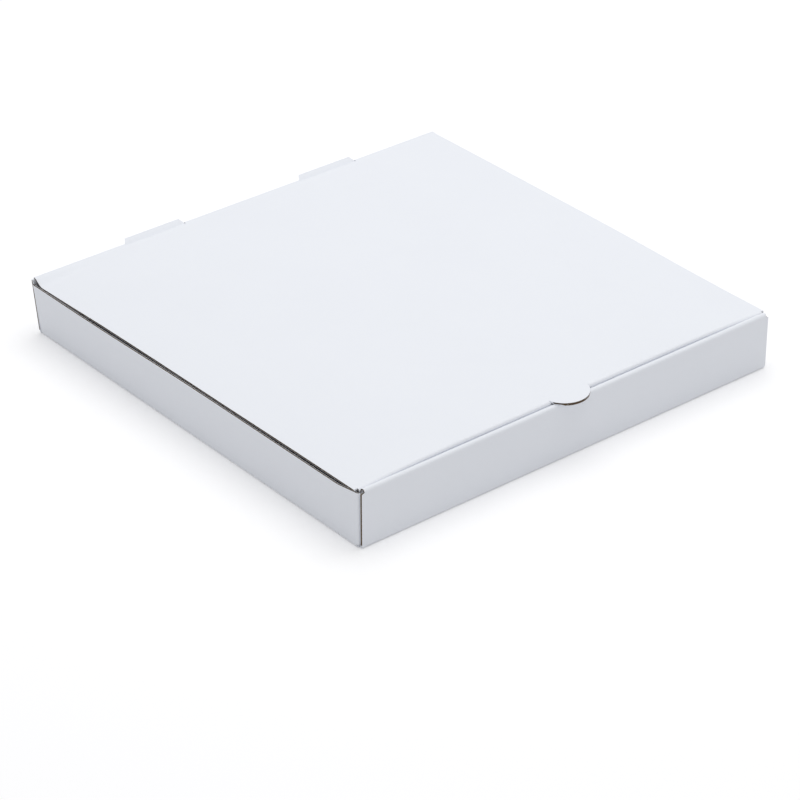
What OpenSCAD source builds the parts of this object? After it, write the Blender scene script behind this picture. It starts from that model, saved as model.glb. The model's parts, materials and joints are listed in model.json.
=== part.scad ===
// Square shipping box: a flat die-cut box folded from one sheet of white fluted board.
// The tray has single side walls, a rear wall that carries the lid, and a front wall that rolls over
// and locks into the floor. The lid tucks in behind the front wall and opens by a thumb tab.
// Frame: origin on the table under the middle of the floor, +X to the right, -Y to the front, +Z up.

/* [Box] */
// Outside width, left to right
box_w = 400; // [300:5:500]
// Outside depth, front wall to rear wall
box_d = 400; // [300:5:500]
// Closed height, table to the top of the lid
box_h = 50; // [36:1:80]

/* [Board] */
// Thickness of the fluted board
board_t = 1.5; // [1.2:0.1:2]
// Inside radius of a pressed fold
fold_in = 0.5; // [0.3:0.1:1]
// Clearance between boards that lie face to face
slip = 0.1; // [0.05:0.05:0.2]
// Clearance between the lid and the tray
lid_gap = 0.3; // [0.2:0.05:0.5]

/* [Front wall] */
// Distance from each end of the front wall to the end of the rolled-over edge
roll_inset = 4; // [3:0.5:12]
// Width of each lock tab on the inner panel
lock_w = 40; // [20:1:60]
// Distance of each lock tab from the middle
lock_x = 95; // [60:1:120]
// Radius of the lower corners of the front and rear walls
corner_r = 0.5; // [0.5:0.5:4]
// Distance that the front wall's ends stand back from the side walls' faces
front_inset = 1.5; // [0.5:0.5:2.5]

/* [Side walls] */
// Height of the gap between the side wall's cut edge and the lid
side_gap = 3.4; // [2:0.1:5]
// Length of the ears that run inside the front wall
front_ear = 70; // [40:1:100]
// Length that the ears inside the rear wall run on past their tongues
rear_ear = 8; // [4:0.5:20]
// Distance that an ear's top stands below the cut edge of the wall that it is folded from
ear_drop = 2; // [1.5:0.5:4]
// Distance that an ear's lower edge stands above the floor's folds
ear_lift = 0.5; // [0.5:0.5:4]

/* [Hinge locks] */
// Width of each lock tongue where it leaves the hinge line
tongue_w = 57; // [40:1:70]
// Distance of each tongue from the middle
tongue_x = 87; // [80:1:95]
// Length of the tongue past its fold
tongue_l = 6.8; // [4:0.1:8]
// Slope of the tongue above level, in degrees
tongue_rise = 30; // [26:1:34]
// Sideways taper of the tongue at each side
tongue_taper = 3; // [1:0.5:6]

/* [Lid] */
// Height of the tuck flap's lower edge above the floor
flap_lift = 10; // [4:0.5:14]
// Lean of the tuck flap away from the front wall, in degrees
flap_lean = 4; // [3:0.5:8]
// Distance from each side of the lid to the end of the tuck flap
flap_inset = 3; // [2:0.5:20]
// Radius of the tuck flap's lower corners
flap_r = 16; // [4:1:18]
// Width of the thumb tab at the fold
thumb_w = 38; // [24:1:50]
// Reach of the thumb tab past the front wall
thumb_reach = 7; // [1:0.5:10]
// Length of the cut that takes off each front corner of the lid
lid_corner = 2; // [1.5:0.5:12]

/* [Hidden] */
$fn = 48;

fold_r = fold_in+board_t;
fold_steps = 8;
front_y = -box_d/2;
rear_y = box_d/2;
half_w = box_w/2;
front_half = half_w-front_inset;
white = [0.90, 0.91, 0.94];
lining = [0.87, 0.88, 0.91];

// Heights of the lid and of the walls under it
lid_z = box_h-board_t;
side_h = lid_z-side_gap;
ridge_z = lid_z-lid_gap;
rear_h = lid_z-lid_gap;

// Rolled-over front wall: two boards with an ear between them
ear_space = board_t+2*slip;
roll_r = board_t+ear_space/2;
roll_y = front_y+roll_r;
roll_z = ridge_z-roll_r;
roll_half = half_w-roll_inset;
inner_y = front_y+board_t+ear_space;
inner_back_y = inner_y+board_t;
free_corner_drop = fold_r/2;

// Ears lie one board inside the front and rear walls
ear_out = board_t+slip;
ear_top = side_h-ear_drop;
ear_low = fold_r+ear_lift;

// Hinge line: half-way through the board of the lid and of the rear wall
hinge_y = rear_y-board_t/2;
hinge_z = lid_z+board_t/2;
// The lid's edge stands back this far from the hinge line beside a tongue
tongue_relief = board_t/2+1.25;
// Fold of the tongue, inside the rear wall
tongue_y = rear_y-ear_out+fold_in;
tongue_z = hinge_z-fold_r-lid_gap;
tongue_side = 0.5;
tongue_tip_y = tongue_y+tongue_l*cos(tongue_rise);

// Tuck flap, folded down behind the inner panel
flap_y = inner_back_y+lid_gap+slip;
flap_fold_y = flap_y+fold_r;
flap_fold_z = box_h-fold_r;
flap_half = half_w-flap_inset;
flap_side = flap_inset/2;
flap_l = flap_fold_z-board_t-flap_lift;
thumb_depth = flap_fold_y-front_y+thumb_reach;
thumb_r = (pow(thumb_w/2, 2)+pow(thumb_depth, 2))/(2*thumb_depth);

// Part of a ring of board around a fold, between two angles
module bend(outer_r, from, to) {
    reach = 3*outer_r;
    steps = ceil((to-from)/45);
    edge = [for (i = [0:steps]) let (a = from+(to-from)*i/steps) reach*[cos(a), sin(a)]];
    intersection() {
        difference() {
            circle(outer_r);
            circle(outer_r-board_t);
        }
        polygon(concat([[0, 0]], edge));
    }
}

// Points on an arc
function arc(r, from, to) =
    [for (i = [0:fold_steps]) let (a = from+(to-from)*i/fold_steps) r*[cos(a), sin(a)]];

// Section of a fold between two angles, with the straight board that leaves it
module fold_and_board(from, to, length) {
    along = (to > from ? 1 : -1)*length*[-sin(to), cos(to)];
    ends = [fold_r*[cos(to), sin(to)]+along, fold_in*[cos(to), sin(to)]+along];
    polygon(concat(arc(fold_r, from, to), ends, arc(fold_in, to, from)));
}

// A section drawn in Y and Z, run along X between two ends
module along_x(x0, x1) {
    translate([x0, 0, 0]) rotate([90, 0, 90]) linear_extrude(x1-x0) children();
}

// An outline drawn in X and Z, as a board whose front face is at y
module upright(y) {
    translate([0, y+board_t, 0]) rotate([90, 0, 0]) linear_extrude(board_t) children();
}

// An outline drawn in X and Y, as a board or a stack between two heights
module level(z0, z1) {
    translate([0, 0, z0]) linear_extrude(z1-z0) children();
}

// A rectangle between two corners
module area(x0, y0, x1, y1) {
    translate([x0, y0]) square([x1-x0, y1-y0]);
}

// A copy on each side of the middle
module both_sides() {
    children();
    mirror([1, 0, 0]) children();
}

// Floor of the tray, with a slot for each lock tab of the front wall
module floor_panel() {
    play = 3*slip;
    level(0, board_t) difference() {
        area(fold_r-half_w, front_y+fold_r, half_w-fold_r, rear_y-fold_r);
        for (side = [-1, 1])
            translate([side*lock_x, 0])
                area(-lock_w/2-play, inner_y-play, lock_w/2+play, inner_back_y+play);
    }
}

// Fold between the floor and the front or rear wall
module end_fold(end_half, y, from) {
    along_x(corner_r-end_half, end_half-corner_r) translate([y, fold_r]) bend(fold_r, from, from+90);
}

// Outline of a wall across the box: round lower corners, and upper corners cut down past the fold
module end_outline(end_half, fold_half, top_z, drop) {
    polygon([[corner_r-end_half, fold_r], [end_half-corner_r, fold_r], [end_half, fold_r+corner_r],
        [end_half, top_z-drop], [fold_half, top_z], [-fold_half, top_z], [-end_half, top_z-drop],
        [-end_half, fold_r+corner_r]]);
    both_sides() translate([end_half-corner_r, fold_r+corner_r]) circle(corner_r);
}

// Front wall: outer panel, rolled-over edge, and inner panel with its lock tabs in the floor
module front_wall() {
    end_fold(front_half, front_y+fold_r, 180);
    upright(front_y) end_outline(front_half, roll_half, roll_z, free_corner_drop);
    along_x(-roll_half, roll_half) translate([roll_y, roll_z]) bend(roll_r, 0, 180);
    upright(inner_y) {
        area(-roll_half, board_t+slip, roll_half, roll_z);
        for (side = [-1, 1]) translate([side*lock_x, 0]) area(-lock_w/2, slip, lock_w/2, ear_low);
    }
}

// Rear wall, notched where the tongues pass over it
module rear_wall() {
    notch_z = tongue_z-slip;
    notch_half = tongue_w/2+tongue_side;
    end_fold(half_w, rear_y-fold_r, 270);
    upright(rear_y-board_t) difference() {
        end_outline(half_w, half_w, rear_h, 0);
        for (side = [-1, 1])
            translate([side*tongue_x, 0]) area(-notch_half, notch_z, notch_half, box_h);
    }
}

// Lock tongue at the top of a rear ear: it folds out over the rear wall and through the hinge line
module tongue() {
    half = tongue_w/2;
    out_y = 2*tongue_tip_y-rear_y;
    intersection() {
        along_x(-half, half) translate([tongue_y, tongue_z])
            fold_and_board(180, 90+tongue_rise, tongue_l);
        level(0, 2*box_h) polygon([[-half, 0], [half, 0], [half, rear_y], [half-2*tongue_taper, out_y],
            [2*tongue_taper-half, out_y], [-half, rear_y]]);
    }
}

// One side wall with the ears that hold it to the front and rear walls
module side_wall() {
    wall_end = box_d/2-ear_out-fold_r;
    fold_x = half_w-fold_r;
    rear_ear_y = rear_y-ear_out-board_t;
    // fold along the floor
    translate([0, wall_end, 0]) rotate([90, 0, 0]) linear_extrude(2*wall_end)
        translate([fold_x, fold_r]) bend(fold_r, 270, 360);
    // wall
    along_x(half_w-board_t, half_w) area(-wall_end, fold_r, wall_end, side_h);
    // corner folds
    level(ear_low, side_h) {
        translate([fold_x, -wall_end]) bend(fold_r, 270, 360);
        translate([fold_x, wall_end]) bend(fold_r, 0, 90);
    }
    // ears
    upright(front_y+ear_out) polygon([[fold_x, ear_low], [fold_x, side_h], [fold_x-ear_drop, ear_top],
        [half_w-front_ear, ear_top], [half_w-front_ear, ear_low]]);
    upright(rear_ear_y) {
        area(tongue_x-tongue_w/2-rear_ear, ear_low, fold_x, ear_top);
        area(tongue_x-tongue_w/2, ear_low, tongue_x+tongue_w/2, tongue_z);
        polygon([[fold_x, ear_low], [fold_x, side_h], [fold_x-ear_drop, ear_top]]);
    }
    translate([tongue_x, 0, 0]) tongue();
}

// Tray: floor and walls
module tray() {
    color(lining) {
        floor_panel();
        front_wall();
        rear_wall();
        both_sides() side_wall();
    }
}

// Half-moon below the X axis, as deep as the thumb tab, with room for the cut around it
module half_moon(cut) {
    intersection() {
        translate([0, thumb_r-thumb_depth]) circle(thumb_r+cut);
        area(-thumb_w, -thumb_depth-thumb_w, thumb_w, 0);
    }
}

// Panel of the lid, with its front corners cut off and its rear edge cut back beside the tongues
module lid_panel() {
    side_y = flap_y+lid_corner;
    relief_half = tongue_w/2+tongue_side;
    level(lid_z, box_h) {
        difference() {
            polygon([[-half_w, side_y], [-flap_half, flap_fold_y], [flap_half, flap_fold_y],
                [half_w, side_y], [half_w, hinge_y], [-half_w, hinge_y]]);
            for (side = [-1, 1])
                translate([side*tongue_x, 0])
                    area(-relief_half, hinge_y-tongue_relief, relief_half, rear_y);
        }
        translate([0, flap_fold_y]) half_moon(0);
    }
}

// Rounded edge of the lid along the hinge line, between the tongues and beside them
module hinge_edge() {
    tongue_in = tongue_x-tongue_w/2-tongue_side;
    tongue_out = tongue_x+tongue_w/2+tongue_side;
    for (span = [[-half_w, -tongue_out], [-tongue_in, tongue_in], [tongue_out, half_w]])
        along_x(span[0], span[1]) translate([hinge_y, hinge_z]) circle(board_t/2);
}

// Outline of the tuck flap, seen from the front, with the opening that the thumb tab was cut from
module flap_outline() {
    low_half = flap_half-flap_side;
    low_z = flap_fold_z-flap_l;
    difference() {
        union() {
            polygon([[-flap_half, 2*box_h], [flap_half, 2*box_h], [flap_half, flap_fold_z],
                [low_half, low_z+flap_r], [low_half-flap_r, low_z], [flap_r-low_half, low_z],
                [-low_half, low_z+flap_r], [-flap_half, flap_fold_z]]);
            both_sides() translate([low_half-flap_r, low_z+flap_r]) circle(flap_r);
        }
        translate([0, box_h]) half_moon(slip);
    }
}

// Tuck flap, folded down from the lid and leaning back from the front wall
module tuck_flap() {
    intersection() {
        along_x(-half_w, half_w) translate([flap_fold_y, flap_fold_z])
            fold_and_board(90, 180+flap_lean, box_h);
        rotate([90, 0, 0]) linear_extrude(box_d) flap_outline();
    }
}

// Lid: panel, thumb tab, hinge edge and tuck flap
module lid() {
    color(white) {
        lid_panel();
        hinge_edge();
        tuck_flap();
    }
}

tray();
lid();
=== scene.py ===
import json
import math

import bmesh
import bpy
from mathutils import Matrix, Vector

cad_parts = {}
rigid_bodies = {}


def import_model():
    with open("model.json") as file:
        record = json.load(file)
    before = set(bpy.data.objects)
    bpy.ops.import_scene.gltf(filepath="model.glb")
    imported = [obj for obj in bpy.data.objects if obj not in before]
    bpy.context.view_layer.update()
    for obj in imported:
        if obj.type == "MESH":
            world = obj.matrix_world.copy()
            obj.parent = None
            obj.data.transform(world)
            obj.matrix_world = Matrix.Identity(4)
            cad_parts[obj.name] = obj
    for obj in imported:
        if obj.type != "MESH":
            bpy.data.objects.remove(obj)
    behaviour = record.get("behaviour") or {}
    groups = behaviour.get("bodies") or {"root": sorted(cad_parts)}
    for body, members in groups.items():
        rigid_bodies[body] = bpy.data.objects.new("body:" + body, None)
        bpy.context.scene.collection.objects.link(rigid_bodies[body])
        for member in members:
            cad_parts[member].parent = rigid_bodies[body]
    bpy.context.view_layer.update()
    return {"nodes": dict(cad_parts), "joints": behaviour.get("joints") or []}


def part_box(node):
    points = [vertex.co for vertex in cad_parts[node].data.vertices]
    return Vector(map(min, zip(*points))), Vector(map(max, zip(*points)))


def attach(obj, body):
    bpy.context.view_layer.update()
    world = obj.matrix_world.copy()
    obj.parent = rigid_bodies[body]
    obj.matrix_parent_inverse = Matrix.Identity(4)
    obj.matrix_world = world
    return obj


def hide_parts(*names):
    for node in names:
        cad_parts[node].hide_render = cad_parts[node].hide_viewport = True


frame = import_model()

# White liner: the smooth clay-coated paper on both sides of the board, pressed flat over the flutes.
# It is matt, very slightly blue, with fine fibres and the faint washboard of the flutes under it.
LINER_WHITE = (0.838, 0.862, 0.912, 1)
LINER_SHADE = (0.829, 0.853, 0.904, 1)
LINER_ROUGH = (0.52, 0.66)
LINER_GLOSS = 0.35
LINER_BLOTCHES = 16
LINER_FIBRES = 1100
BLOTCH_RANGE = (0.32, 0.62)
FLUTE_PITCH = 0.00345
WASHBOARD_DEPTH = 0.000012
WASHBOARD_PATCHES = 14
FIBRE_DEPTH = 0.000010


def new_group(name, inputs, outputs):
    """A shader node group with float inputs and the outputs given by name and kind."""
    group = bpy.data.node_groups.new(name, "ShaderNodeTree")
    for label, start in inputs:
        socket = group.interface.new_socket(label, in_out="INPUT", socket_type="NodeSocketFloat")
        socket.default_value = start
    for label, kind in outputs:
        group.interface.new_socket(label, in_out="OUTPUT", socket_type=kind)
    return group, group.nodes.new("NodeGroupInput"), group.nodes.new("NodeGroupOutput")


def paper_fibres():
    """Mottling and fibres of paper: a soft blotchy mask and a fine height."""
    group, given, made = new_group(
        "paper_fibres",
        [("Blotch Scale", LINER_BLOTCHES), ("Fibre Scale", LINER_FIBRES)],
        [("Blotch", "NodeSocketFloat"), ("Fibre", "NodeSocketFloat")],
    )
    nodes, links = group.nodes, group.links
    place = nodes.new("ShaderNodeTexCoord")
    blotch = nodes.new("ShaderNodeTexNoise")
    blotch.inputs["Detail"].default_value = 4
    blotch.inputs["Roughness"].default_value = 0.6
    fibre = nodes.new("ShaderNodeTexNoise")
    fibre.inputs["Detail"].default_value = 3
    fibre.inputs["Distortion"].default_value = 1.2
    links.new(place.outputs["Object"], blotch.inputs["Vector"])
    links.new(place.outputs["Object"], fibre.inputs["Vector"])
    links.new(given.outputs["Blotch Scale"], blotch.inputs["Scale"])
    links.new(given.outputs["Fibre Scale"], fibre.inputs["Scale"])
    links.new(blotch.outputs["Fac"], made.inputs["Blotch"])
    links.new(fibre.outputs["Fac"], made.inputs["Fibre"])
    return group


def flute_washboard():
    """The faint ripple that the flutes leave in the liner, stronger in some places than in others."""
    group, given, made = new_group(
        "flute_washboard", [("Pitch", FLUTE_PITCH)], [("Height", "NodeSocketFloat")]
    )
    nodes, links = group.nodes, group.links
    sheet = nodes.new("ShaderNodeUVMap")
    sheet.uv_map = "board"
    split = nodes.new("ShaderNodeSeparateXYZ")
    turns = nodes.new("ShaderNodeMath")
    turns.operation = "DIVIDE"
    angle = nodes.new("ShaderNodeMath")
    angle.operation = "MULTIPLY"
    angle.inputs[1].default_value = 2 * math.pi
    wave = nodes.new("ShaderNodeMath")
    wave.operation = "SINE"
    patches = nodes.new("ShaderNodeTexNoise")
    patches.inputs["Scale"].default_value = WASHBOARD_PATCHES
    patches.inputs["Detail"].default_value = 2
    strength = nodes.new("ShaderNodeMath")
    strength.operation = "MULTIPLY"
    links.new(sheet.outputs["UV"], split.inputs["Vector"])
    links.new(sheet.outputs["UV"], patches.inputs["Vector"])
    links.new(split.outputs["Y"], turns.inputs[0])
    links.new(given.outputs["Pitch"], turns.inputs[1])
    links.new(turns.outputs["Value"], angle.inputs[0])
    links.new(angle.outputs["Value"], wave.inputs[0])
    links.new(wave.outputs["Value"], strength.inputs[0])
    links.new(patches.outputs["Fac"], strength.inputs[1])
    links.new(strength.outputs["Value"], made.inputs["Height"])
    return group


def use_group(material, group, **values):
    """Places a group in a material, with its inputs given by name."""
    node = material.node_tree.nodes.new("ShaderNodeGroup")
    node.node_tree = group
    for label, value in values.items():
        node.inputs[label.replace("_", " ")].default_value = value
    return node


def liner_material(name, fibres, washboard):
    material = bpy.data.materials.new(name)
    material.use_nodes = True
    nodes, links = material.node_tree.nodes, material.node_tree.links
    shader = nodes["Principled BSDF"]
    shader.inputs["Specular IOR Level"].default_value = LINER_GLOSS
    paper = use_group(material, fibres, Blotch_Scale=LINER_BLOTCHES, Fibre_Scale=LINER_FIBRES)
    ripple = use_group(material, washboard, Pitch=FLUTE_PITCH)
    tint = nodes.new("ShaderNodeMix")
    tint.data_type = "RGBA"
    tint.inputs["A"].default_value = LINER_SHADE
    tint.inputs["B"].default_value = LINER_WHITE
    spread = nodes.new("ShaderNodeMapRange")
    spread.inputs["From Min"].default_value = BLOTCH_RANGE[0]
    spread.inputs["From Max"].default_value = BLOTCH_RANGE[1]
    rough = nodes.new("ShaderNodeMapRange")
    rough.inputs["To Min"].default_value = LINER_ROUGH[0]
    rough.inputs["To Max"].default_value = LINER_ROUGH[1]
    waves = nodes.new("ShaderNodeBump")
    waves.inputs["Distance"].default_value = WASHBOARD_DEPTH
    fuzz = nodes.new("ShaderNodeBump")
    fuzz.inputs["Distance"].default_value = FIBRE_DEPTH
    links.new(paper.outputs["Blotch"], spread.inputs["Value"])
    links.new(spread.outputs["Result"], tint.inputs["Factor"])
    links.new(tint.outputs["Result"], shader.inputs["Base Color"])
    links.new(paper.outputs["Blotch"], rough.inputs["Value"])
    links.new(rough.outputs["Result"], shader.inputs["Roughness"])
    links.new(ripple.outputs["Height"], waves.inputs["Height"])
    links.new(paper.outputs["Fibre"], fuzz.inputs["Height"])
    links.new(waves.outputs["Normal"], fuzz.inputs["Normal"])
    links.new(fuzz.outputs["Normal"], shader.inputs["Normal"])
    return material


fibres = paper_fibres()
washboard = flute_washboard()
white_liner = liner_material("white_liner", fibres, washboard)

# Fluted core: the brown sheet between the liners, seen where the board is cut across.
# It is raw recycled paper, mottled at random between a lighter and a darker brown, with loose fibres at the
# cut; its hollows look dark only from the shade in the waves and the recess, not from its colour.
KRAFT_LIGHT = (0.36, 0.27, 0.19, 1)
KRAFT_DARK = (0.14, 0.1, 0.066, 1)
KRAFT_ROUGH = (0.8, 0.95)
KRAFT_GLOSS = 0.2
KRAFT_BLOTCHES = 240
KRAFT_FIBRES = 2600


def kraft_material(name, fibres):
    material = bpy.data.materials.new(name)
    material.use_nodes = True
    nodes, links = material.node_tree.nodes, material.node_tree.links
    shader = nodes["Principled BSDF"]
    shader.inputs["Specular IOR Level"].default_value = KRAFT_GLOSS
    paper = use_group(material, fibres, Blotch_Scale=KRAFT_BLOTCHES, Fibre_Scale=KRAFT_FIBRES)
    tint = nodes.new("ShaderNodeMix")
    tint.data_type = "RGBA"
    tint.inputs["A"].default_value = KRAFT_DARK
    tint.inputs["B"].default_value = KRAFT_LIGHT
    rough = nodes.new("ShaderNodeMapRange")
    rough.inputs["To Min"].default_value = KRAFT_ROUGH[0]
    rough.inputs["To Max"].default_value = KRAFT_ROUGH[1]
    fuzz = nodes.new("ShaderNodeBump")
    fuzz.inputs["Distance"].default_value = 2 * FIBRE_DEPTH
    links.new(paper.outputs["Blotch"], tint.inputs["Factor"])
    links.new(tint.outputs["Result"], shader.inputs["Base Color"])
    links.new(paper.outputs["Blotch"], rough.inputs["Value"])
    links.new(rough.outputs["Result"], shader.inputs["Roughness"])
    links.new(paper.outputs["Fibre"], fuzz.inputs["Height"])
    links.new(fuzz.outputs["Normal"], shader.inputs["Normal"])
    return material


kraft = kraft_material("kraft_core", fibres)

# Tray: floor and walls of one folded sheet, with a rolled-over front wall and ears at the corners.
# Its cut edges are open: two thin liners stand proud of the hollow that holds the fluted core.
# Its left wall has sprung outward, and the folds of the front ears stand off from the front wall.
X, Y, Z = range(3)
tray_low, tray_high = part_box("tray")
HINGE = Vector(frame["joints"][0]["pos_m"])
TINY = 1e-5
BOARD = 0.0015
LINER = 0.0002
CUT_DEPTH = 0.0016
CUT_WIDTH = 1.05 * BOARD
SHARP_SHARE = 0.25
SHARP_TURN = math.radians(60)
FLAT_TURN = math.radians(1)
SMOOTH_TURN = math.radians(32)
FACING_UP = 0.9
FLOOR_CUTS = 0.004
HINGE_WEB = 0.00045
FOLD = 0.002
SIDE_TOP = 0.0451
REAR_WALL = HINGE.y - BOARD / 2 - TINY
TONGUE_FOLD = HINGE - Vector((0, 0.0023, 0.0028))

# front ears and the raw ends of the front wall
EAR_BACK = tray_low.y + 2.5 * BOARD
EAR_BEND = 0.1962
EAR_END = 0.12
EAR_DROP = 0.002
CORNER_GAP = 0.0013
CORNER_RUN = 0.02
FRONT_END = tray_high.x - BOARD
END_FLARE = 0.0006
END_RUN = 0.003

# lean of the left wall
SPRING_FRONT = 0.0031
SPRING_RUN = 0.025
SPRING_REAR = 0.0021
REAR_START = -0.02
REAR_RUN = 0.16
SPRING_END = 0.0042
EAR_SLIP = 0.15
WALL_SLICES = 12
SPRING_SLICES = 6


def deselect_all():
    if bpy.context.object and bpy.context.object.mode != "OBJECT":
        bpy.ops.object.mode_set(mode="OBJECT")
    bpy.ops.object.select_all(action="DESELECT")


def make_active(piece):
    deselect_all()
    piece.select_set(True)
    bpy.context.view_layer.objects.active = piece


def sheet_from(node, name):
    """A copy of a folded sheet with its triangles joined into whole panels."""
    make_active(frame["nodes"][node])
    bpy.ops.object.duplicate()
    piece = bpy.context.object
    piece.name = name
    piece.data.name = name
    for key in [k for k in piece.keys() if k.startswith("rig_")]:
        del piece[key]
    piece.parent = None
    piece.data.materials.clear()
    bpy.ops.object.mode_set(mode="EDIT")
    bpy.ops.mesh.select_all(action="SELECT")
    bpy.ops.mesh.customdata_custom_splitnormals_clear()
    bpy.ops.mesh.remove_doubles(threshold=1e-6)
    bpy.ops.mesh.dissolve_limited(angle_limit=FLAT_TURN)
    bpy.ops.object.mode_set(mode="OBJECT")
    return piece


def is_cut_edge(face):
    """True for a narrow face with sharp edges along it: the board cut through, and no panel or fold."""
    around = sum(edge.calc_length() for edge in face.edges)
    sharp = sum(edge.calc_length() for edge in face.edges if edge.calc_face_angle(0) > SHARP_TURN)
    return 2 * face.calc_area() / around < CUT_WIDTH and sharp > SHARP_SHARE * around


def open_cut_edges(piece, keep_closed):
    """Presses the core back between the liners along every cut edge and shows it in brown."""
    piece.data.materials.append(white_liner)
    piece.data.materials.append(kraft)
    make_active(piece)
    bpy.ops.object.mode_set(mode="EDIT")
    bpy.ops.mesh.select_mode(type="FACE")
    bpy.ops.mesh.select_all(action="DESELECT")
    sheet = bmesh.from_edit_mesh(piece.data)
    for face in sheet.faces:
        face.select_set(is_cut_edge(face) and not keep_closed(face))
    bmesh.update_edit_mesh(piece.data)
    bpy.ops.mesh.inset(thickness=LINER, use_boundary=True, use_even_offset=True)
    bpy.ops.mesh.extrude_region_shrink_fatten(
        TRANSFORM_OT_shrink_fatten={"value": -CUT_DEPTH, "use_even_offset": True}
    )
    bpy.ops.mesh.select_more()
    piece.active_material_index = 1
    bpy.ops.object.material_slot_assign()
    bpy.ops.object.mode_set(mode="OBJECT")


def lay_out(piece, in_ear):
    """UV map of the sheet laid flat, in metres: U along the flutes, V across them."""
    while piece.data.uv_layers:
        piece.data.uv_layers.remove(piece.data.uv_layers[0])
    layer = piece.data.uv_layers.new(name="board")
    for face in piece.data.polygons:
        steep = max((X, Y, Z), key=lambda axis: abs(face.normal[axis]))
        across = Y
        if steep == Y:
            across = X if in_ear(face.center) else Z
        along = next(axis for axis in (X, Z, Y) if axis not in (steep, across))
        for corner in face.loop_indices:
            place = piece.data.vertices[piece.data.loops[corner].vertex_index].co
            layer.data[corner].uv = (place[along], place[across])


def smooth_folds(piece):
    make_active(piece)
    bpy.ops.object.shade_smooth_by_angle(angle=SMOOTH_TURN)
    weights = piece.modifiers.new("flat_panels", "WEIGHTED_NORMAL")
    weights.keep_sharp = True
    bpy.ops.object.modifier_apply(modifier=weights.name)


def on_hinge_line(face):
    """The top of the rear wall, where the sheet goes on into the lid."""
    place = face.calc_center_median()
    at_rear = HINGE.y - BOARD < place.y < tray_high.y
    at_top = HINGE.z - BOARD < place.z < HINGE.z
    return at_rear and at_top and face.normal.z > FACING_UP


def in_tongue(face):
    place = face.calc_center_median()
    return place.y > TONGUE_FOLD.y and place.z > TONGUE_FOLD.z


def at_ear_step(face):
    """The short step down from the top of a side wall to the top of its front ear."""
    place = face.calc_center_median()
    turned_in = face.normal.x * place.x < 0 and place.y < EAR_BACK
    return turned_in and SIDE_TOP - EAR_DROP + LINER < place.z < SIDE_TOP - LINER


def tray_not_opened(face):
    """The cut edges that stay shut: on the floor, at the hinge, in the tongues and at the ears' steps."""
    on_floor = face.calc_center_median().z < FLOOR_CUTS
    return on_floor or on_hinge_line(face) or in_tongue(face) or at_ear_step(face)


def slice_faces(piece, picked, axis, places):
    """Cuts the picked faces along planes across an axis, so that they can bend there."""
    make_active(piece)
    bpy.ops.object.mode_set(mode="EDIT")
    bpy.ops.mesh.select_mode(type="FACE")
    for place in places:
        bpy.ops.mesh.select_all(action="DESELECT")
        sheet = bmesh.from_edit_mesh(piece.data)
        for face in sheet.faces:
            face.select_set(picked(face.calc_center_median()))
        bmesh.update_edit_mesh(piece.data)
        plane = Vector((0, 0, 0))
        plane[axis] = 1
        bpy.ops.mesh.bisect(plane_co=place * plane, plane_no=plane)
    bpy.ops.object.mode_set(mode="OBJECT")


def ease(step):
    """A step from 0 to 1 with soft ends."""
    step = min(max(step, 0), 1)
    return step * step * (3 - 2 * step)


def in_side_wall(place):
    return abs(place.x) > tray_high.x - 2 * BOARD


def in_front_ear(place):
    return place.y < EAR_BACK and abs(place.x) > EAR_END


def spring_at(place):
    """How far the left wall leans out at a place: its front ear holds it, and its top is free."""
    if place.x > 0:
        return 0
    rise = min(max(0, place.z - FOLD) / (SIDE_TOP - FOLD), 1)
    along = SPRING_FRONT * ease((place.y - tray_low.y) / SPRING_RUN)
    along += SPRING_REAR * ease((place.y - REAR_START) / REAR_RUN)
    if place.y > REAR_WALL:
        along = SPRING_END
    return rise * along * ease((-place.x - EAR_SLIP) / (tray_high.x - EAR_SLIP))


def corner_gap_at(place):
    """How far the fold of a front ear stands off from the front wall, whose raw ends are pressed open."""
    if place.z < FOLD or place.y < tray_low.y + BOARD / 2:
        return 0
    if place.y < tray_low.y + BOARD + TINY:
        return END_FLARE * ease((abs(place.x) - FRONT_END + END_RUN) / END_RUN)
    near = 1 - ease((place.y - EAR_BACK) / CORNER_RUN)
    return CORNER_GAP * near * ease((abs(place.x) - EAR_BEND) / (tray_high.x - FOLD - EAR_BEND))


def spring_open(piece):
    """Leans the left wall outward and opens the front corners."""
    for vertex in piece.data.vertices:
        vertex.co += Vector((-spring_at(vertex.co), corner_gap_at(vertex.co), 0))


def join_to_hinge(piece):
    """Carries the rear wall up into the fold, so that no light shows through under the lid."""
    make_active(piece)
    bpy.ops.object.mode_set(mode="EDIT")
    bpy.ops.mesh.select_all(action="DESELECT")
    sheet = bmesh.from_edit_mesh(piece.data)
    for face in sheet.faces:
        if on_hinge_line(face):
            face.select_set(True)
    bmesh.update_edit_mesh(piece.data)
    bpy.ops.transform.translate(value=(0, 0, HINGE_WEB))
    bpy.ops.object.mode_set(mode="OBJECT")


def in_tray_ear(place):
    inside = tray_low.y + BOARD < place.y < HINGE.y - BOARD / 2
    return inside and abs(place.y) > abs(tray_low.y) - 3 * BOARD


tray = sheet_from("tray", "tray_board")
wall_step = (tray_high.y - tray_low.y) / WALL_SLICES
spring_step = SPRING_RUN / SPRING_SLICES
slice_faces(tray, in_side_wall, Y, [tray_low.y + i * wall_step for i in range(1, WALL_SLICES)])
slice_faces(tray, in_side_wall, Y, [tray_low.y + i * spring_step for i in range(1, SPRING_SLICES + 1)])
slice_faces(tray, in_front_ear, X, [-EAR_BEND, EAR_BEND])
open_cut_edges(tray, keep_closed=tray_not_opened)
join_to_hinge(tray)
spring_open(tray)
lay_out(tray, in_tray_ear)
smooth_folds(tray)
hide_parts("tray")
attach(tray, "tray")

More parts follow.
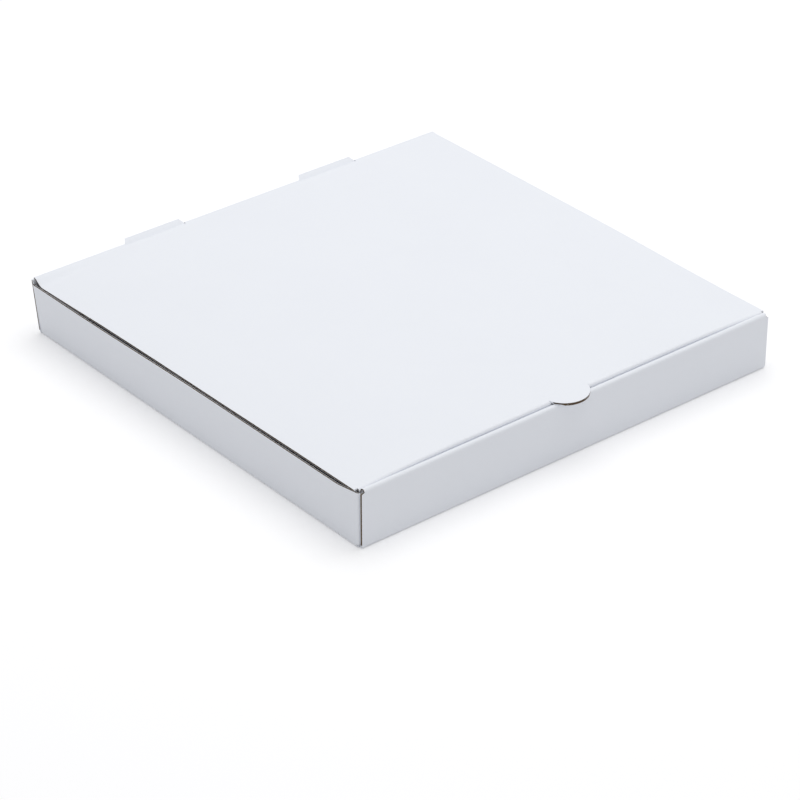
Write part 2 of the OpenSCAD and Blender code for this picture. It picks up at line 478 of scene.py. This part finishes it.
# Lid: one flat panel with a tuck flap and a thumb tab, cut from the same sheet as the tray.
# It is folded along the rear wall and along its front edge. Its sides are cut straight across the flutes,
# and as nothing holds them up there, they hang down a little.
lid_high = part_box("lid")[1]
FRONT_FOLD = -0.1925
FRONT_PUSH = 0.0002
FACING_FRONT = -0.5

# hang of the sides, at the front, the middle and the rear
SAG_LEFT = (0.0033, 0.0041, 0.0052)
SAG_RIGHT = (0.0032, 0.0008, 0.0003)
SAG_START = 0.11
SAG_CHANGE = 0.15
REAR_HELD = 0.010
SIDE_SLICES = 6
CHANGE_SLICES = 4
HELD_SLICES = 4

# rear left corner and thumb tab
CORNER_OUT = 0.0020
OUT_START = Vector((0.17, 0.1))
OUT_RUN = Vector((0.03, 0.1))
THUMB_HALF = 0.019
THUMB_BEND = -0.2005
THUMB_RUN = 0.003
THUMB_FLARE = 0.0009


def at_thumb_root(face):
    """The ends of the thumb tab's cut, where the board is torn rather than cut."""
    place = face.calc_center_median()
    near_fold = abs(place.y - FRONT_FOLD) < 2.5 * BOARD and place.z > HINGE.z - 3 * BOARD
    return near_fold and abs(abs(place.x) - THUMB_HALF) < 2.5 * BOARD


def lid_not_opened(face):
    """The thumb tab's roots, the short front edges beside the tuck flap, and the edges beside the tongues."""
    place = face.calc_center_median()
    at_front_corner = place.z > HINGE.z - BOARD and abs(place.x) > lid_high.x - 3 * BOARD
    beside_flap = face.normal.y < FACING_FRONT and at_front_corner
    beside_tongue = place.y > HINGE.y - 3 * BOARD and abs(place.x) < lid_high.x - BOARD
    return at_thumb_root(face) or beside_flap or beside_tongue


def in_panel(place):
    """Behind the front fold, where the lid lies flat."""
    return place.y > FRONT_FOLD


def anywhere(place):
    return True


def nowhere(place):
    return False


def sag_at(place):
    """How far the lid hangs down at a place: along its sides, and not at the hinge."""
    side = max(0, abs(place.x) - SAG_START) / (lid_high.x - SAG_START)
    front, middle, rear = SAG_LEFT if place.x < 0 else SAG_RIGHT
    sag = middle + (front - middle) * ease(-place.y / SAG_CHANGE)
    sag += (rear - middle) * ease(place.y / SAG_CHANGE)
    return sag * side * side * ease((HINGE.y - place.y) / REAR_HELD)


def flare_at(place):
    """How far the underside of the thumb tab is pressed open along its round edge."""
    if abs(place.x) > THUMB_HALF or place.z > HINGE.z - LINER:
        return 0
    return THUMB_FLARE * ease((THUMB_BEND - place.y) / THUMB_RUN)


def let_sides_down(piece):
    """Lowers the lid's sides, springs its front fold and rear left corner out, and opens the thumb tab."""
    for vertex in piece.data.vertices:
        place = vertex.co
        push = FRONT_PUSH if place.y < FRONT_FOLD + 2 * BOARD else 0
        toward_left = ease((-place.x - OUT_START.x) / OUT_RUN.x)
        toward_rear = ease((place.y - OUT_START.y) / OUT_RUN.y)
        out = CORNER_OUT * toward_left * toward_rear
        vertex.co -= Vector((out, push, sag_at(place) + flare_at(place)))


lid = sheet_from("lid", "lid_board")
side_step = (lid_high.x - SAG_START) / SIDE_SLICES
change_step = SAG_CHANGE / CHANGE_SLICES
held_step = REAR_HELD / HELD_SLICES
for side in (-1, 1):
    slice_faces(lid, anywhere, X, [side * (SAG_START + i * side_step) for i in range(SIDE_SLICES)])
slice_faces(lid, in_panel, Y, [i * change_step for i in range(-CHANGE_SLICES, CHANGE_SLICES + 1)])
slice_faces(lid, in_panel, Y, [HINGE.y - i * held_step for i in range(1, HELD_SLICES + 1)])
open_cut_edges(lid, keep_closed=lid_not_opened)
let_sides_down(lid)
lay_out(lid, nowhere)
smooth_folds(lid)
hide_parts("lid")
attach(lid, "lid")

# Flutes: the core's waves, seen end on wherever the board is cut across them.
# The sheet is corrugated between rollers, so every wave is the same, and it is glued at each crest.
CORE = 0.00017
FLUTE_DEPTH = 0.0020
FLUTE_RISE = (BOARD - 2 * LINER - CORE) / 2
CREST_PULL = 1.5
EDGE_BACK = 0.00015
END_GAP = 0.0004
ROLL_START = 0.003
FOLD_START = 0.003
WALL_MARGIN = 0.007
FLUTE_SMOOTH = math.radians(50)


def row_of_flutes(name, start, end, across):
    """One strip of waves between two ends of a cut edge, running back into the board."""
    run = Vector(end) - Vector(start)
    count = max(1, round((run.length - 2 * END_GAP) / FLUTE_PITCH))
    pitch = (run.length - 2 * END_GAP) / count
    deselect_all()
    bpy.ops.mesh.primitive_grid_add(x_subdivisions=4, y_subdivisions=1, size=1)
    strip = bpy.context.object
    strip.name = name
    strip.data.name = name
    bpy.ops.object.mode_set(mode="EDIT")
    bpy.ops.transform.resize(value=(pitch, FLUTE_DEPTH, 1))
    bpy.ops.mesh.select_mode(type="VERT")
    for crest in (-1, 1):
        bpy.ops.mesh.select_all(action="DESELECT")
        wave = bmesh.from_edit_mesh(strip.data)
        for vertex in wave.verts:
            vertex.select_set(abs(vertex.co.x - crest * pitch / 4) < pitch / 20)
        bmesh.update_edit_mesh(strip.data)
        bpy.ops.transform.translate(value=(0, 0, -crest * CREST_PULL * FLUTE_RISE))
    bpy.ops.mesh.select_all(action="SELECT")
    bpy.ops.transform.translate(value=(END_GAP + pitch / 2, EDGE_BACK + FLUTE_DEPTH / 2, 0))
    bpy.ops.object.mode_set(mode="OBJECT")
    waves = strip.modifiers.new("waves", "ARRAY")
    waves.count = count
    waves.use_relative_offset = False
    waves.use_constant_offset = True
    waves.constant_offset_displace = (pitch, 0, 0)
    waves.use_merge_vertices = True
    waves.merge_threshold = pitch / 100
    bpy.ops.object.modifier_apply(modifier=waves.name)
    rounded = strip.modifiers.new("rounded", "SUBSURF")
    rounded.levels = 1
    rounded.render_levels = 1
    rounded.boundary_smooth = "PRESERVE_CORNERS"
    bpy.ops.object.modifier_apply(modifier=rounded.name)
    paper = strip.modifiers.new("paper", "SOLIDIFY")
    paper.thickness = CORE
    paper.offset = 0
    bpy.ops.object.modifier_apply(modifier=paper.name)
    along = run.normalized()
    normal = Vector(across).normalized()
    inward = normal.cross(along)
    turned = Matrix((along, inward, normal)).transposed().to_4x4()
    strip.data.transform(Matrix.Translation(start) @ turned)
    strip.data.materials.append(kraft)
    return strip


def join_flutes(name, strips, body):
    """All the strips of one sheet as one piece that moves with it."""
    make_active(strips[0])
    for strip in strips:
        strip.select_set(True)
    bpy.ops.object.join()
    core = bpy.context.object
    core.name = name
    core.data.name = name
    bpy.ops.object.shade_smooth_by_angle(angle=FLUTE_SMOOTH)
    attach(core, body)
    return core


def corners_at(node, test):
    """Lowest and highest corner of the points of a CAD node that pass a test."""
    points = [v.co for v in frame["nodes"][node].data.vertices if test(v.co)]
    low = Vector(min(p[axis] for p in points) for axis in range(3))
    high = Vector(max(p[axis] for p in points) for axis in range(3))
    return low, high


lid_strips = []
tray_strips = []
for side in (-1, 1):
    # sides of the lid
    edge = side * lid_high.x
    low, _ = corners_at("lid", lambda p: abs(p.x - edge) < TINY)
    start = Vector((edge, low.y, HINGE.z))
    end = Vector((edge, HINGE.y, HINGE.z))
    if side < 0:
        start, end = end, start
    lid_strips.append(row_of_flutes(f"lid_side_{side}", start, end, (0, 0, 1)))
    # tops of the side walls
    wall = side * (tray_high.x - BOARD / 2)
    low, high = corners_at(
        "tray", lambda p: abs(p.x - side * tray_high.x) < TINY and abs(p.y) < tray_high.y - WALL_MARGIN
    )
    start = Vector((wall, high.y, high.z))
    end = Vector((wall, low.y + FOLD_START, high.z))
    tray_strips.append(row_of_flutes(f"wall_top_{side}", start, end, (1, 0, 0)))
    # ends of the front and rear walls
    for front in (True, False):
        face = tray_low.y if front else HINGE.y - BOARD / 2
        low, high = corners_at("tray", lambda p: side * p.x > 0 and face - TINY < p.y < face + BOARD + TINY)
        edge = high.x if side > 0 else low.x
        low, high = corners_at(
            "tray", lambda p: abs(p.x - edge) < TINY and face - TINY < p.y < face + BOARD + TINY
        )
        start = Vector((edge, face + BOARD / 2, low.z))
        end = Vector((edge, face + BOARD / 2, high.z - (ROLL_START if front else 0)))
        if side > 0:
            start, end = end, start
        tray_strips.append(row_of_flutes(f"wall_end_{side}_{front}", start, end, (0, 1, 0)))

lid_flutes = join_flutes("lid_flutes", lid_strips, "lid")
let_sides_down(lid_flutes)
tray_flutes = join_flutes("tray_flutes", tray_strips, "tray")
spring_open(tray_flutes)

# Floor and light: a plain white sheet and one large soft lamp, as for a packaging catalogue.
# The world is white behind the box and dimmer where it lights it.
FLOOR_SIZE = 12
FLOOR_DROP = 0.0001
FLOOR_WHITE = (0.86, 0.86, 0.87, 1)
FLOOR_ROUGH = 0.9
FLOOR_LIFT = 0.2
SKY_LIGHT = 0.59
TOP_LAMP_SIZE = 2.6
TOP_LAMP_PLACE = Vector((0.45, 0.2, 2.4))
TOP_LAMP_POWER = 32

deselect_all()
bpy.ops.mesh.primitive_plane_add(size=FLOOR_SIZE, location=(0, 0, -FLOOR_DROP))
floor = bpy.context.object
floor.name = "floor"
floor_paint = bpy.data.materials.new("floor_white")
floor_paint.use_nodes = True
nodes, links = floor_paint.node_tree.nodes, floor_paint.node_tree.links
paint = nodes["Principled BSDF"]
paint.inputs["Base Color"].default_value = FLOOR_WHITE
paint.inputs["Roughness"].default_value = FLOOR_ROUGH
paint.inputs["Specular IOR Level"].default_value = 0.0
rays = nodes.new("ShaderNodeLightPath")
glow = nodes.new("ShaderNodeEmission")
lit = nodes.new("ShaderNodeAddShader")
seen = nodes.new("ShaderNodeMath")
seen.operation = "MAXIMUM"
lift = nodes.new("ShaderNodeMath")
lift.operation = "MULTIPLY"
lift.inputs[1].default_value = FLOOR_LIFT
links.new(rays.outputs["Is Camera Ray"], seen.inputs[0])
links.new(rays.outputs["Is Glossy Ray"], seen.inputs[1])
links.new(seen.outputs["Value"], lift.inputs[0])
links.new(lift.outputs["Value"], glow.inputs["Strength"])
links.new(paint.outputs["BSDF"], lit.inputs[0])
links.new(glow.outputs["Emission"], lit.inputs[1])
links.new(lit.outputs["Shader"], nodes["Material Output"].inputs["Surface"])
floor.data.materials.append(floor_paint)

world = bpy.data.worlds.new("studio")
world.use_nodes = True
nodes, links = world.node_tree.nodes, world.node_tree.links
sky = nodes["Background"]
sky.inputs["Color"].default_value = (1, 1, 1, 1)
rays = nodes.new("ShaderNodeLightPath")
behind = nodes.new("ShaderNodeMath")
behind.operation = "MAXIMUM"
level = nodes.new("ShaderNodeMapRange")
level.inputs["To Min"].default_value = SKY_LIGHT
level.inputs["To Max"].default_value = 1
links.new(rays.outputs["Is Camera Ray"], behind.inputs[0])
links.new(rays.outputs["Is Glossy Ray"], behind.inputs[1])
links.new(behind.outputs["Value"], level.inputs["Value"])
links.new(level.outputs["Result"], sky.inputs["Strength"])
bpy.context.scene.world = world

bpy.ops.object.light_add(type="AREA", location=TOP_LAMP_PLACE)
top_lamp = bpy.context.object
top_lamp.name = "top_lamp"
top_lamp.data.shape = "SQUARE"
top_lamp.data.size = TOP_LAMP_SIZE
top_lamp.data.energy = TOP_LAMP_POWER
top_lamp.rotation_euler = TOP_LAMP_PLACE.to_track_quat("Z", "Y").to_euler()

# Camera: a long lens that looks down on the box across its near left corner.
# It stands level and has no lens shift, so it can be turned round the box.
VIEW_TURN = math.radians(39.493)
VIEW_RISE = math.radians(30.824)
VIEW_DISTANCE = 2.444
VIEW_TARGET = Vector((-0.04819, -0.05903, 0))
SENSOR = 36
LENS = 145.76

camera = bpy.data.objects.new("camera", bpy.data.cameras.new("camera"))
bpy.context.scene.collection.objects.link(camera)
camera.data.sensor_width = SENSOR
camera.data.lens = LENS
toward = Vector((
    -math.sin(VIEW_TURN) * math.cos(VIEW_RISE),
    -math.cos(VIEW_TURN) * math.cos(VIEW_RISE),
    math.sin(VIEW_RISE),
))
camera.location = VIEW_TARGET + VIEW_DISTANCE * toward
camera.rotation_euler = toward.to_track_quat("Z", "Y").to_euler()
bpy.context.scene.camera = camera
bpy.context.scene.view_settings.view_transform = "Standard"
